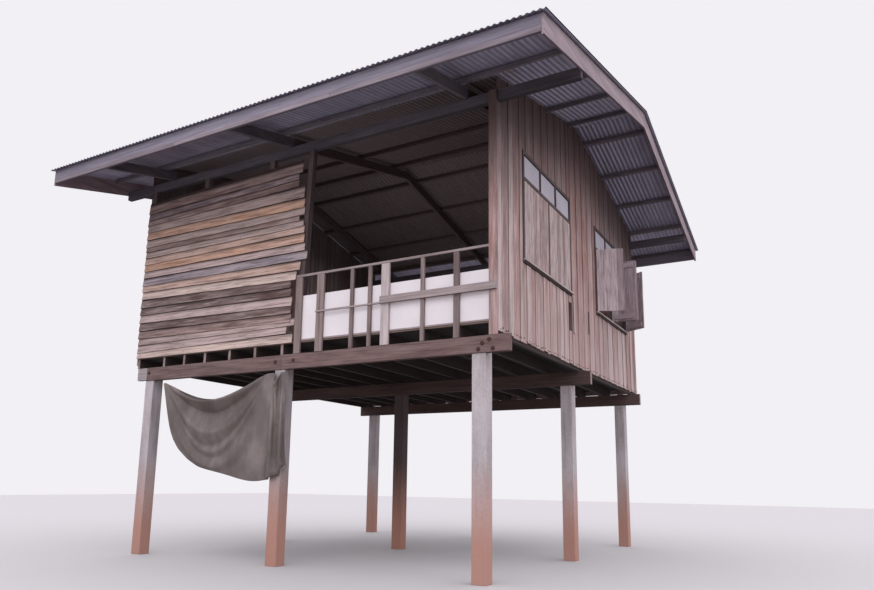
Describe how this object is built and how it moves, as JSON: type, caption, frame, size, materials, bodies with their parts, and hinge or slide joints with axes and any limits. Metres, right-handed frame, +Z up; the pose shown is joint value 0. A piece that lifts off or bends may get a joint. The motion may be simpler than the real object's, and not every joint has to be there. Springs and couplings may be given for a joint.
{
  "type": "stilt house",
  "caption": "Timber stilt house on concrete posts, with a gable roof of corrugated metal, lapped plank front, balustrade and shuttered windows.",
  "frame": {"origin": "centre of the plan's bounding box, at the height of the lowest foot", "axes": "+X along the ridge towards the gable with windows, +Y from the open front to the back, +Z up"},
  "size_m": [8.56, 9.49, 7.2834],
  "materials": {
    "concrete": "cast concrete, unpainted, stained by red mud at the foot",
    "girder_timber": "sawn hardwood, weathered brown grey",
    "bleached_timber": "sawn hardwood, sun bleached",
    "floor_timber": "sawn hardwood, weathered",
    "lapped_timber": "rough sawn planks, weathered tan to grey",
    "frame_timber": "planed hardwood, weathered",
    "wall_timber": "rough sawn upright boards, weathered red grey",
    "transom_glass": "frosted sheet glass",
    "shutter_timber": "planed boards, weathered grey brown",
    "rail_timber": "sawn timber, bleached grey",
    "panel_board": "flat white board, matt",
    "roof_metal": "zinc coated corrugated steel, dulled",
    "fascia_timber": "sawn boards, weathered grey",
    "screen_cloth": "woven sheet, grey brown"
  },
  "bodies": {
    "root": {"posts_front": "concrete", "posts_middle": "concrete", "posts_back": "concrete", "girder_front_left": "girder_timber", "girder_front_right": "girder_timber", "girder_end_block": "bleached_timber", "girder_middle": "girder_timber", "girder_back": "girder_timber", "floor_joists": "floor_timber", "floor_deck": "floor_timber", "lapped_planks": "lapped_timber", "corner_posts": "frame_timber", "corner_board": "wall_timber", "wall_studs": "wall_timber", "opening_stud": "frame_timber", "plate_front": "frame_timber", "plate_back": "frame_timber", "wall_right": "wall_timber", "wall_left": "wall_timber", "wall_back": "wall_timber", "window_frame_front": "frame_timber", "window_frame_back": "frame_timber", "transom_lights": "transom_glass", "shutters_front": "shutter_timber", "shutter_back_near": "shutter_timber", "shutters_back_middle": "shutter_timber", "shutter_back_far": "shutter_timber", "balusters": "rail_timber", "rail_top": "rail_timber", "rail_middle": "rail_timber", "rail_low": "rail_timber", "balustrade_panels": "panel_board", "rafters": "frame_timber", "purlins": "frame_timber", "roof_sheet_front": "roof_metal", "roof_sheet_back": "roof_metal", "ridge_cap": "roof_metal", "fascia_front": "fascia_timber", "fascia_back": "fascia_timber", "barge_right": "fascia_timber", "barge_left": "fascia_timber", "cloth_screen": "screen_cloth"}
  },
  "joints": []
}
